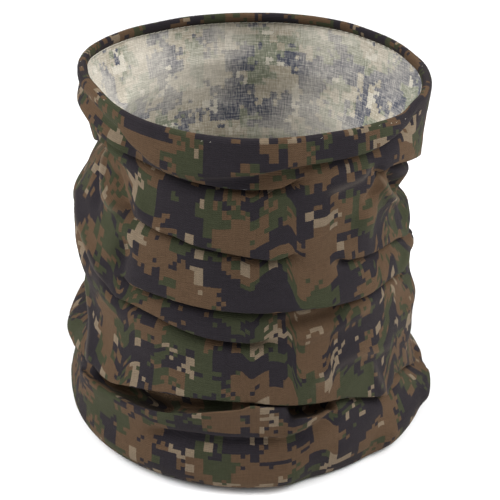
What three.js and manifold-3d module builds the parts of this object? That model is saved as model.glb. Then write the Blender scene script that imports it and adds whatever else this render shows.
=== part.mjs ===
// Neck gaiter: a knitted tube pushed down into folds, standing on its lower edge.
// Millimetres, +Z up. The origin is the middle of the lower edge, on the surface it stands on.
// The wearer faces -Y. Left and right are seen from the front, so left is -X.

import * as THREE from 'three';
import { mergeVertices } from 'three/addons/utils/BufferGeometryUtils.js';
import Module from 'manifold-3d';

const wasm = await Module();
wasm.setup();

// ---- Driving dimensions ----

const rimDiameter = 160;        // across the top opening, outside
const bodyDiameter = 167;       // across the bands between the folds
const skirtDiameter = 174;      // across the wide band that hangs over the lowest folds
const footDiameter = 184;       // across the roll that the tube stands on
const standingHeight = 175;     // floor to rim, pushed down into folds
const wall = 2.2;               // cloth with its small wrinkles
const hemDepth = 6;             // turned-in edge, top and bottom
const hemThickness = 0.9;       // the second layer of cloth at a hem
const footWidth = 8;            // flat ring that rests on the surface
const footRise = 13;            // height of the widest part of the foot roll
const skirtRise = 62;           // height of the widest part of the skirt
const bodyRise = 108;           // height of the widest part of the body

const allowanceDepth = 5;       // how far a side seam stands in from the wall
const allowanceThickness = 0.9; // one layer of it
const seamGap = 0.4;            // between the front and back panels
const clearance = 0.35;         // between a thread and the cloth beside it

const threadDiameter = 0.6;     // a sewing thread with its loops
const needleInset = 2.3;        // needle thread, in from the wall
const looperInset = 4.2;        // looper threads, in from the wall
const hemStitchInset = 1.5;     // hem stitch, in from the turned-in edge

// Folds run round the tube. A rise is measured up from the floor, a drop down from the rim.
const folds = [
  { rise: 29, depth: 5, reach: 5 },
  { rise: 48, depth: 8, reach: 6 },
  { rise: 81, depth: 4, reach: 5 },
  { rise: 94, depth: 4, reach: 5 },
  { drop: 52, depth: 4, reach: 5 },
  { drop: 24, depth: 3, reach: 3.5 },
  { drop: 16, depth: 4, reach: 3.5 },
];

const aroundSteps = 48;         // facets round the tube
const upSteps = 28;             // rows of facets up the wall
const outlineSteps = 240;       // how finely the outline's curve is read
const threadSides = 6;
const threadRows = 28;          // steps along a seam thread

// ---- Shape of the wall ----

const widest = Math.max(footDiameter, skirtDiameter, bodyDiameter, rimDiameter);
const rimRadius = rimDiameter / 2;
const outline = new THREE.SplineCurve([
  new THREE.Vector2(0, footDiameter / 2 - footWidth / 2),
  new THREE.Vector2(footRise, footDiameter / 2),
  new THREE.Vector2((footRise + skirtRise) / 2, (footDiameter + skirtDiameter) / 4),
  new THREE.Vector2(skirtRise, skirtDiameter / 2),
  new THREE.Vector2(bodyRise, bodyDiameter / 2),
  new THREE.Vector2(standingHeight, rimRadius),
]);
const outlinePoints = outline.getPoints(outlineSteps);

/** Radius of the unfolded outline at height z. */
function outlineRadius(z) {
  const next = outlinePoints.findIndex((point) => point.x >= z);
  if (next <= 0) {
    return next === 0 ? outlinePoints[0].y : rimRadius;
  }
  const low = outlinePoints[next - 1];
  const high = outlinePoints[next];
  return THREE.MathUtils.mapLinear(z, low.x, high.x, low.y, high.y);
}

/** Height of a fold's deepest line. */
function foldHeight(fold) {
  return fold.drop === undefined ? fold.rise : standingHeight - fold.drop;
}

/** How far the folds pull the wall in at height z. */
function foldPull(z) {
  let pull = 0;
  for (const fold of folds) {
    const away = Math.abs(z - foldHeight(fold)) / fold.reach;
    pull += fold.depth * Math.exp(-away * away);
  }
  return pull;
}

/** Outside radius of the wall at height z. */
function outerRadius(z) {
  return outlineRadius(z) - foldPull(z);
}

/** Inside radius of the wall at height z, away from the hems. */
function innerRadius(z) {
  return outerRadius(z) - wall;
}

/** Heights from low to high, evenly spaced, with each fold's deepest line among them. */
function rowHeights(low, high, steps) {
  const heights = [];
  for (let row = 0; row <= steps; row += 1) {
    heights.push(THREE.MathUtils.lerp(low, high, row / steps));
  }
  const spacing = (high - low) / steps;
  for (const fold of folds) {
    const height = foldHeight(fold);
    const nearest = heights.findIndex((z) => Math.abs(z - height) <= spacing / 2);
    if (nearest > 0 && nearest < steps) {
      heights[nearest] = height;
    }
  }
  return heights;
}

// ---- Closed solids ----

/** A ring turned about Z from a closed profile of (radius, height) points. */
function turnedRing(profile) {
  const closed = [...profile, profile[0]];
  const ring = new THREE.LatheGeometry(closed, aroundSteps);
  ring.rotateX(Math.PI / 2);
  return ring;
}

/** The manifold solid of a closed geometry. */
function toSolid(geometry) {
  const bare = geometry.clone();
  bare.deleteAttribute('normal');
  bare.deleteAttribute('uv');
  const merged = mergeVertices(bare);
  const mesh = new wasm.Mesh({
    numProp: 3,
    vertProperties: new Float32Array(merged.attributes.position.array),
    triVerts: new Uint32Array(merged.index.array),
  });
  return new wasm.Manifold(mesh);
}

/** The geometry of a manifold solid. */
function toGeometry(solid) {
  const mesh = solid.getMesh();
  const geometry = new THREE.BufferGeometry();
  geometry.setAttribute('position', new THREE.BufferAttribute(mesh.vertProperties, 3));
  geometry.setIndex(new THREE.BufferAttribute(mesh.triVerts, 1));
  geometry.computeVertexNormals();
  return geometry;
}

/** The whole wall with its turned-in hems. */
function wallRing() {
  const outside = rowHeights(0, standingHeight, upSteps)
    .map((z) => new THREE.Vector2(outerRadius(z), z));
  const lowHem = hemDepth;
  const highHem = standingHeight - hemDepth;
  const inside = rowHeights(lowHem, highHem, upSteps)
    .map((z) => new THREE.Vector2(innerRadius(z), z))
    .reverse();
  const topHem = [
    new THREE.Vector2(innerRadius(standingHeight) - hemThickness, standingHeight),
    new THREE.Vector2(innerRadius(highHem) - hemThickness, highHem),
  ];
  const bottomHem = [
    new THREE.Vector2(innerRadius(lowHem) - hemThickness, lowHem),
    new THREE.Vector2(outerRadius(0) - footWidth, 0),
  ];
  return turnedRing([...outside, ...topHem, ...inside, ...bottomHem]);
}

/** A ring that stands in from the wall between the hems, for the seam allowances. */
function allowanceRing() {
  const low = hemDepth + clearance;
  const high = standingHeight - hemDepth - clearance;
  const heights = rowHeights(low, high, upSteps);
  const outside = heights.map((z) => new THREE.Vector2(innerRadius(z) + wall / 2, z));
  const inside = heights
    .map((z) => new THREE.Vector2(innerRadius(z) - allowanceDepth, z))
    .reverse();
  return turnedRing([...outside, ...inside]);
}

/** A box that covers the tube in X and Z, between two places along Y. */
function slab(nearY, farY) {
  const box = new THREE.BoxGeometry(widest + 2 * wall, farY - nearY, standingHeight + 2 * wall);
  box.translate(0, (nearY + farY) / 2, standingHeight / 2);
  return toSolid(box);
}

/** One panel: half the wall, its hems and its two seam allowances. side is -1 front, 1 back. */
function panelGeometry(side) {
  const reach = seamGap / 2 + allowanceThickness;
  const allowances = toSolid(allowanceRing()).intersect(slab(-reach, reach));
  const whole = toSolid(wallRing()).add(allowances);
  const half = side < 0 ? slab(-widest, -seamGap / 2) : slab(seamGap / 2, widest);
  return toGeometry(whole.intersect(half));
}

/** A round section for a thread. */
function threadSection() {
  const section = new THREE.Shape();
  for (let corner = 0; corner < threadSides; corner += 1) {
    const angle = (corner / threadSides) * 2 * Math.PI;
    const x = (threadDiameter / 2) * Math.cos(angle);
    const y = (threadDiameter / 2) * Math.sin(angle);
    if (corner === 0) {
      section.moveTo(x, y);
    } else {
      section.lineTo(x, y);
    }
  }
  section.closePath();
  return section;
}

/** A thread up a side seam. sideX is -1 left, 1 right; sideY is -1 front face, 1 back face. */
function seamThreadGeometry(sideX, sideY, inset) {
  const low = hemDepth + 2 * clearance;
  const high = standingHeight - hemDepth - 2 * clearance;
  const y = sideY * (seamGap / 2 + allowanceThickness + clearance + threadDiameter / 2);
  const points = rowHeights(low, high, threadRows)
    .map((z) => new THREE.Vector3(sideX * (innerRadius(z) - inset), y, z));
  const path = new THREE.CatmullRomCurve3(points);
  return new THREE.ExtrudeGeometry(threadSection(), {
    steps: threadRows,
    bevelEnabled: false,
    extrudePath: path,
  });
}

/** A thread round a hem, on its inside face at height z. */
function hemThreadGeometry(z, faceRadius) {
  const radius = faceRadius - clearance - threadDiameter / 2;
  const profile = [];
  for (let corner = 0; corner < threadSides; corner += 1) {
    const angle = (corner / threadSides) * 2 * Math.PI;
    profile.push(new THREE.Vector2(
      radius + (threadDiameter / 2) * Math.cos(angle),
      z + (threadDiameter / 2) * Math.sin(angle),
    ));
  }
  return turnedRing(profile);
}

// ---- The gaiter ----

/** Printed knit for the panels. */
function printedKnit() {
  return new THREE.MeshStandardMaterial({ color: 0x6f6150, roughness: 0.92, metalness: 0 });
}

/** Off-white sewing thread. */
function sewingThread() {
  return new THREE.MeshStandardMaterial({ color: 0xe6e2d6, roughness: 0.7, metalness: 0 });
}

const gaiter = new THREE.Group();

/** Adds a named piece to the gaiter. */
function addPiece(name, geometry, material) {
  const mesh = new THREE.Mesh(geometry, material);
  mesh.name = name;
  gaiter.add(mesh);
}

addPiece('front_panel', panelGeometry(-1), printedKnit());
addPiece('back_panel', panelGeometry(1), printedKnit());

for (const [side, sideX] of [['left', -1], ['right', 1]]) {
  addPiece(`${side}_seam_needle_thread`, seamThreadGeometry(sideX, -1, needleInset), sewingThread());
  addPiece(`${side}_seam_upper_looper_thread`, seamThreadGeometry(sideX, -1, looperInset), sewingThread());
  addPiece(`${side}_seam_lower_looper_thread`, seamThreadGeometry(sideX, 1, looperInset), sewingThread());
}

const topStitchHeight = standingHeight - hemDepth + hemStitchInset;
const topWallFace = Math.min(innerRadius(standingHeight), innerRadius(standingHeight - hemDepth));
const topHemFace = topWallFace - hemThickness;
addPiece('top_hem_thread', hemThreadGeometry(topStitchHeight, topHemFace), sewingThread());

const bottomStitchHeight = hemDepth - hemStitchInset;
const bottomHemFace = Math.min(outerRadius(0) - footWidth, innerRadius(hemDepth) - hemThickness);
addPiece('bottom_hem_thread', hemThreadGeometry(bottomStitchHeight, bottomHemFace), sewingThread());

export default gaiter;
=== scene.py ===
"""Neck gaiter: a knitted tube in a blocky camouflage print, pushed down into folds and standing open.

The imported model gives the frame. Each panel's plain shell and each plain thread is replaced here by cloth
and stitching made in the same place. Lengths are in millimetres until a mesh is written, in metres.
Degrees are measured round the tube from the front, and grow to the right seen from the front. The two
panels take their prints from different places on the same printed cloth.
"""

from __future__ import annotations

import logging
import math
from dataclasses import dataclass, field
from enum import Enum
from typing import Iterable, Sequence

import bpy
import numpy as np
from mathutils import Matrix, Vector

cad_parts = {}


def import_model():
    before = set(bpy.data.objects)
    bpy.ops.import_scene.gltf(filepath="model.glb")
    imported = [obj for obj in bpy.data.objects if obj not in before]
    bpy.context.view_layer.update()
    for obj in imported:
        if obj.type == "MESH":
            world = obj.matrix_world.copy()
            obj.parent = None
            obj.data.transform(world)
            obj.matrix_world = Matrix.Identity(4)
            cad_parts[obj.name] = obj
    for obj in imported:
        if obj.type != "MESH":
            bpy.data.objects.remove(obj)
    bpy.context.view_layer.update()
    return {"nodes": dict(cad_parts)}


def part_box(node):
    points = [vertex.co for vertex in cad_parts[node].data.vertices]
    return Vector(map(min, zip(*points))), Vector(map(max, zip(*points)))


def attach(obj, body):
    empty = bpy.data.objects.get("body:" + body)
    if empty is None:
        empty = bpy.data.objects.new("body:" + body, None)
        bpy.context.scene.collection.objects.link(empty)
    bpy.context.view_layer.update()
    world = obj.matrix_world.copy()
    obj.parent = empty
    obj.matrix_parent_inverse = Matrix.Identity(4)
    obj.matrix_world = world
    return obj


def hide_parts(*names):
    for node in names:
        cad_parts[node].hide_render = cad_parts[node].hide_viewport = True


LOG = logging.getLogger("gaiter")
METRES = 0.001
ROOT = "root"
RIM_RADIUS = 80.0
TUCK_BELOW = 4.5
FRONT_PRINT = (0.0, 0.0)
BACK_PRINT = (613.0, 211.0)

Colour = tuple[float, float, float, float]
Point = tuple[float, float, float]
Path = tuple[tuple[float, float], ...]


# ---------------------------------------------------------------- curves and noise


def smooth_step(value: np.ndarray) -> np.ndarray:
    """0 below 0, 1 above 1, and a smooth rise between them."""
    held = np.clip(value, 0.0, 1.0)
    return held * held * (3.0 - 2.0 * held)


def smooth_path(points: np.ndarray, steps: int) -> np.ndarray:
    """A Catmull-Rom curve through the points.

    Args:
        points: the points, one row each.
        steps: how many pieces to cut each span into.

    Returns:
        The curve's points, one row each.
    """
    padded = np.vstack([2 * points[0] - points[1], points, 2 * points[-1] - points[-2]])
    share = np.linspace(0.0, 1.0, steps, endpoint=False)[:, None]
    spans = []
    for low in range(len(points) - 1):
        a, b, c, d = padded[low:low + 4]
        spans.append(0.5 * (2 * b + (c - a) * share + (2 * a - 5 * b + 4 * c - d) * share ** 2
                            + (3 * b - a - 3 * c + d) * share ** 3))
    return np.vstack([*spans, points[-1:]])


def steps_along(curve: np.ndarray) -> np.ndarray:
    """The distance from each of a flat curve's points to the next."""
    return np.hypot(*np.diff(curve, axis=0).T)


def softened(values: np.ndarray, times: int) -> np.ndarray:
    """Rows eased towards the rows above and below them, with the first and last held."""
    eased = values.copy()
    for _ in range(times):
        eased[1:-1] = 0.5 * eased[1:-1] + 0.25 * (eased[:-2] + eased[2:])
    return eased


def bumps(turn: np.ndarray, places: Path, width: float) -> np.ndarray:
    """Smooth bumps round the tube.

    Args:
        turn: degrees round.
        places: the degrees and the size of each bump.
        width: how many degrees a bump takes to die away.

    Returns:
        Their sum at every turn.
    """
    total = np.zeros_like(turn)
    for middle, size in places:
        away = (turn - middle + 180.0) % 360.0 - 180.0
        total += size * np.exp(-(away / width) ** 2)
    return total


class LatticeNoise:
    """Smooth noise on a lattice that closes round the tube."""

    def __init__(self, around: int, up: int, seed: int) -> None:
        """Makes the lattice.

        Args:
            around: cells round the tube.
            up: cells from the floor to the rim.
            seed: picks the noise.
        """
        self.around = around
        self.up = up
        self.values = np.random.RandomState(seed).uniform(-1.0, 1.0, (up + 4, around))

    def at(self, turn: np.ndarray, rise: np.ndarray) -> np.ndarray:
        """The noise at shares of a turn, as a row, and shares of the height, as a column."""
        x = (turn[None, :] % 1.0) * self.around
        y = np.clip(rise[:, None], 0.0, 1.0) * self.up + 1.0
        left, low = np.floor(x).astype(int), np.floor(y).astype(int)
        across, upward = smooth_step(x - left), smooth_step(y - low)
        left, right = left % self.around, (left + 1) % self.around
        lower = self.values[low, left] * (1 - across) + self.values[low, right] * across
        upper = self.values[low + 1, left] * (1 - across) + self.values[low + 1, right] * across
        return lower * (1 - upward) + upper * upward


# ---------------------------------------------------------------- folds


class Section(Enum):
    """How a fold line looks when it is cut across."""

    CREASE = "sharp at the line, with soft shoulders"
    ROLL = "round"


@dataclass(frozen=True)
class FoldLine:
    """A line across the cloth along which it is pushed in, out, up or down.

    The path's points are (degrees round, height above the floor). "above" and "below" say how far the push
    is felt on each side of the line, "fade" how long its ends take to die away, and "pale" how pale its
    crest is painted: partly worn fibre, partly a painted highlight along the crest.
    """

    path: Path
    out: float
    up: float = 0.0
    above: float = 6.0
    below: float = 6.0
    section: Section = Section.ROLL
    fade: float = 14.0
    # how pale the crest is painted: partly worn fibre, partly a painted highlight
    pale: float = 0.0


def raised(path: Path, height: float) -> Path:
    """The path, moved up."""
    return tuple((turn, level + height) for turn, level in path)


def overhang(path: Path, depth: float, lip: float = 1.5, drop: float = 5.5, billow: float = 8.0,
             fade: float = 14.0) -> list[FoldLine]:
    """Cloth that hangs in a lip over the crease that it is tucked into.

    Args:
        path: where the lip's lower edge shows.
        depth: how far the cloth is drawn in at the crease behind the lip.
        lip: how far the lip stands out.
        drop: how far the lip hangs down over the crease.
        billow: how far above the lip the cloth is rounded out.
        fade: how long its ends take to die away.

    Returns:
        The fold lines that make it.
    """
    lip_line = raised(path, drop)
    return [FoldLine(lip_line, out=lip, up=-drop, above=billow, below=3.0, fade=fade),
            FoldLine(raised(lip_line, -TUCK_BELOW), out=-depth, above=2.6, below=5.0, fade=fade)]


def ridge(path: Path, out: float, left: float, right: float, fade: float = 9.0, pale: float = 0.8) -> FoldLine:
    """A sharp crest, felt to the left and right of the way its path runs."""
    return FoldLine(path, out=out, above=left, below=right, section=Section.CREASE, fade=fade, pale=pale)


def swell(path: Path, out: float, size: float, fade: float = 14.0, up: float = 0.0) -> FoldLine:
    """A soft swelling along a path, or a hollow where it is drawn in."""
    return FoldLine(path, out=out, up=up, above=size, below=size, fade=fade)


def front_folds() -> list[FoldLine]:
    """The folds across the front, from the rim down."""
    collar = ((-48, 167), (-38, 162.5), (-30, 159.5), (-22, 158), (-12, 158), (-1, 159), (12, 162),
              (28, 162.5), (40, 163.5), (52, 167), (66, 170))
    left_collar = ((-90, 168), (-76, 168.5), (-64, 168), (-54, 167), (-46, 165.5), (-38, 163))
    under_collar = ((-92, 158), (-80, 159.5), (-68, 160), (-55, 158.5), (-46, 157), (-37, 155), (-27, 153),
                    (-14, 151.5), (-2, 151), (10, 152.5), (20, 156))
    shoulder = ((-50, 127), (-42, 128), (-34, 128.5), (-24, 127.5), (-15, 125.5), (-4, 123.5), (8, 120.5),
                (18, 119))
    waist = ((-48, 96), (-38, 98.5), (-28, 98.5), (-14, 97), (2, 96), (16, 95.5), (29, 93.5), (40, 92),
             (52, 92), (62, 89), (72, 84))
    belt = ((-56, 93), (-47, 88.5), (-39, 88.5), (-29, 87), (-18, 83), (-8, 81), (2, 80), (11, 80.5))
    recess = ((4, 90), (14, 88.5), (24, 88), (34, 89))
    recess_floor = ((8, 80), (20, 81.5), (32, 84), (46, 87))
    return [*overhang(collar, depth=4.2, lip=0.9, drop=3.8, billow=7, fade=16),
            swell(left_collar, out=-2.8, size=2.0),
            *overhang(under_collar, depth=8.0, lip=1.8, drop=5.0, billow=4, fade=18),
            *overhang(shoulder, depth=8.0, lip=2.0, drop=6.0, billow=10, fade=18),
            *overhang(waist, depth=8.0, lip=2.4, billow=9, fade=18),
            *overhang(belt, depth=8.0, lip=1.0, drop=4.4, billow=4, fade=18),
            swell(recess, out=-5.0, size=4.0, fade=16, up=-1.0),
            swell(recess_floor, out=2.0, size=4.5, fade=16, up=1.0)]


def lower_folds() -> list[FoldLine]:
    """The skirt that hangs over an open pocket, and the lobe of cloth in front of it."""
    skirt = ((-104, 42), (-92, 39), (-80, 39), (-70, 42), (-60, 44), (-48, 43), (-40, 46), (-27, 49.5),
             (-12, 51.5), (0, 51.5), (10, 49.5), (20, 47.5), (30, 45), (40, 39), (50, 33), (60, 28))
    skirt_drop = 6.5
    left_pocket = ((-60, 38), (-50, 38.5), (-42, 39.5), (-32, 41), (-22, 43))
    pocket_tail = ((-30, 43), (-20, 45), (-11, 47), (-2, 49))
    right_pocket = ((10, 45), (15, 44), (21, 43), (28, 42.5))
    left_lobe = ((-72, 30), (-58, 32), (-46, 33), (-36, 33.5), (-26, 35), (-18, 37.5), (-9, 41), (0, 43),
                 (8, 43))
    middle_lobe = ((-3, 42.5), (3, 44), (9, 44), (14, 42))
    right_lobe = ((10, 38), (15, 37), (21, 37), (27, 40))
    under_lobe = ((-34, 24), (-26, 26), (-16, 28), (-4, 28.5), (6, 28.5), (13, 29))
    lobe_end = ((8, 28.5), (14, 29.5), (20, 32), (25, 35.5), (28, 39.5))
    front_pull = ((10, 6), (24, 6), (38, 7), (52, 8))
    return [FoldLine(raised(skirt, skirt_drop), out=2.4, up=-skirt_drop, above=9, below=3.2, fade=24),
            FoldLine(raised(skirt, 1.5), out=-7.5, up=-1.0, above=2.6, below=5.0, fade=24),
            swell(left_pocket, out=-17.0, size=5.2, up=-13.0),
            swell(pocket_tail, out=-8.0, size=3.8, fade=12, up=-6.0),
            swell(right_pocket, out=-14.0, size=4.4, fade=8, up=-10.0),
            FoldLine(left_lobe, out=3.2, up=6.5, above=3.4, below=8.0, fade=16),
            FoldLine(middle_lobe, out=2.0, up=4.5, above=3.2, below=7.0, fade=6),
            FoldLine(right_lobe, out=3.0, up=5.5, above=2.8, below=6.0, fade=7),
            FoldLine(under_lobe, out=-5.0, up=1.5, above=2.6, below=4.6, fade=12),
            FoldLine(lobe_end, out=-3.4, up=0.6, above=2.0, below=3.6, fade=7),
            swell(front_pull, out=-4.0, size=13, fade=16)]


def left_folds() -> list[FoldLine]:
    """The folds round the left side, from the rim down."""
    neck = ((-128, 143), (-112, 141), (-96, 140), (-82, 141), (-70, 146), (-60, 150.5), (-50, 148.5),
            (-42, 143))
    neck_crest = ((-59, 150), (-61, 142), (-60, 136), (-56, 131), (-50, 128.5), (-44, 127))
    hip_crest = ((-84, 122), (-77, 118), (-71, 113), (-64, 108), (-58, 103), (-54, 98), (-50, 93))
    hip = ((-116, 60), (-100, 58), (-88, 57), (-78, 57), (-70, 59))
    skirt_crest = ((-84, 74), (-74, 66), (-64, 56), (-57, 48))
    return [*overhang(neck, depth=3.5, lip=1.0, drop=3.5, billow=7, fade=20),
            swell(((-104, 155), (-92, 156), (-80, 156), (-70, 157)), out=2.0, size=6),
            ridge(neck_crest, out=4.0, left=8, right=2.6, pale=1.0),
            swell(((-68, 148), (-69, 138), (-65, 129), (-57, 122)), out=-3.0, size=5, fade=9),
            swell(((-53, 145), (-51, 138), (-45, 133), (-38, 132)), out=-3.6, size=5, fade=9),
            swell(((-42, 142), (-36, 138), (-30, 135), (-22, 134)), out=2.0, size=4, fade=9),
            ridge(hip_crest, out=3.4, left=9, right=3.0, pale=1.0),
            swell(((-80, 108), (-74, 102), (-67, 97), (-61, 91)), out=-2.6, size=5, fade=9),
            swell(((-40, 119), (-43, 112), (-45, 105), (-46, 99)), out=-4.0, size=6, fade=8),
            swell(((-112, 112), (-98, 111), (-86, 111)), out=2.4, size=12),
            *overhang(hip, depth=4.5, lip=0.6, drop=3.0, billow=6, fade=12),
            swell(((-112, 50), (-98, 49), (-86, 48), (-76, 48)), out=2.4, size=4.0),
            ridge(skirt_crest, out=2.6, left=8, right=3.0, pale=0.9)]


def right_folds() -> list[FoldLine]:
    """The folds round the right side, from the rim down."""
    neck = ((44, 144), (47, 150), (54, 150), (64, 146.5), (76, 141), (88, 135), (102, 133))
    neck_crest = ((46, 152), (46, 145), (50, 138), (56, 131), (64, 125), (74, 118))
    collar_crest = ((22, 147.5), (30, 149), (36, 150.5), (39, 154), (40, 158))
    hook = ((24, 114), (33, 112.5), (43, 110), (52, 108.5), (62, 106), (72, 101), (84, 96), (98, 97))
    hook_crest = ((60, 97), (68, 95), (76, 92), (86, 89), (98, 89))
    skirt_crest = ((16, 58), (23, 61.5), (30, 64), (38, 63), (46, 59.5), (56, 56))
    return [*overhang(neck, depth=6.0, lip=0.8, drop=4.0, fade=8),
            swell(((49, 146), (53, 141), (60, 135), (68, 129)), out=-6.0, size=4.5, fade=7),
            swell(((68, 123), (80, 121), (92, 121), (106, 124)), out=-4.0, size=6.5, fade=12),
            ridge(neck_crest, out=3.4, left=2.6, right=7, pale=0.9),
            ridge(collar_crest, out=1.6, left=3.5, right=2.2, fade=7, pale=0.7),
            swell(((41, 156), (44, 149), (42, 142), (37, 138)), out=-2.6, size=3.0, fade=7),
            swell(((34, 133), (40, 128), (48, 125)), out=3.2, size=9, fade=10),
            *overhang(hook, depth=5.0, lip=1.8, drop=4.5),
            swell(((70, 112), (82, 110), (96, 111)), out=2.6, size=5.5, fade=10),
            ridge(hook_crest, out=3.6, left=3.5, right=3.0, fade=10, pale=0.4),
            *overhang(((64, 85), (74, 80), (84, 77), (98, 77)), depth=3.4, lip=0.8, drop=3.0, billow=4,
                      fade=9),
            ridge(skirt_crest, out=1.5, left=2.6, right=6, fade=10, pale=0.35),
            ridge(((40, 60), (43, 52), (46, 45), (50, 36)), out=2.0, left=2.6, right=5, fade=8, pale=0.4),
            swell(((60, 66), (74, 64), (90, 63)), out=1.6, size=8),
            swell(((62, 50), (76, 47), (92, 46)), out=1.2, size=7),
            *overhang(((54, 38), (66, 34), (76, 26), (86, 19), (98, 18)), depth=5.0, lip=1.2, drop=4.0,
                      billow=5, fade=9),
            swell(((70, 12), (82, 9), (94, 9)), out=3.0, size=6, fade=8)]


def back_folds() -> list[FoldLine]:
    """The folds round the back: calm below the rim, then deeper towards the floor."""
    right_waist = ((96, 84), (112, 87), (132, 90), (152, 88), (174, 83), (192, 81))
    left_waist = ((180, 88), (200, 92), (222, 93), (244, 90), (262, 87))
    right_hip = ((108, 66), (126, 69), (148, 68), (170, 63), (190, 62))
    left_hip = ((172, 74), (194, 71), (216, 69), (238, 71), (256, 75))
    skirt = ((94, 42), (114, 44), (138, 48), (162, 49), (186, 46), (210, 44), (232, 44), (254, 43))
    foot = ((124, 25), (146, 28), (170, 29), (192, 26), (214, 25), (234, 28))
    return [swell(((120, 150), (150, 146), (180, 149), (210, 152), (238, 150)), out=-1.2, size=12, fade=26),
            swell(((114, 124), (150, 128), (190, 122), (236, 126)), out=1.4, size=14, fade=26),
            swell(((128, 104), (160, 100), (196, 104), (232, 101)), out=-1.4, size=11, fade=26),
            *overhang(right_waist, depth=5.0, lip=2.0, drop=4.5, fade=22),
            *overhang(left_waist, depth=4.6, lip=1.8, drop=4.5, fade=22),
            *overhang(right_hip, depth=4.4, lip=1.6, drop=4.0, billow=6, fade=20),
            *overhang(left_hip, depth=4.4, lip=1.6, drop=4.0, billow=6, fade=20),
            *overhang(skirt, depth=7.0, lip=2.6, drop=6.0, billow=9, fade=24),
            *overhang(foot, depth=4.6, lip=1.6, drop=4.0, billow=5, fade=20)]


# ---------------------------------------------------------------- cloth shape


@dataclass(frozen=True)
class Station:
    """The unfolded tube's outline at one place round it.

    The profile's points are (height, how far inside the foot's widest radius).
    """

    turn: float
    profile: Path


STATIONS = (
    Station(-90, ((14, 0.5), (32, 4.5), (48, 5), (58, 11), (67, 12.5), (76, 11.5), (90, 8), (110, 8.5),
                  (126, 15), (136, 20.5), (143, 22.5), (156, 17), (170, 13.5), (184, 14))),
    Station(0, ((14, 2.2), (30, 3), (46, 4), (62, 4.5), (80, 7), (100, 8), (125, 9), (150, 11.5), (165, 11),
                (176, 12))),
    Station(90, ((14, 2.5), (26, 9.5), (46, 12.5), (63, 12.5), (76, 14), (95, 16), (108, 18), (121, 22.5),
                 (132, 18.5), (142, 13.5), (156, 11), (172, 9.5))),
    Station(180, ((14, 0.5), (30, 3), (46, 4), (62, 5.5), (80, 7), (100, 8.5), (125, 9.5), (150, 11),
                  (176, 12))),
)


@dataclass(frozen=True)
class Wrinkles:
    """Small random wrinkles: cells round and up the tube, the noise's seed, and their size."""

    around: int
    up: int
    seed: int
    size: float

    def at(self, turn: np.ndarray, rise: np.ndarray, strength: float = 1.0) -> np.ndarray:
        """How far they push the cloth out in mm, at shares of a turn and of the height."""
        return strength * self.size * LatticeNoise(self.around, self.up, self.seed).at(turn, rise)


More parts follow.
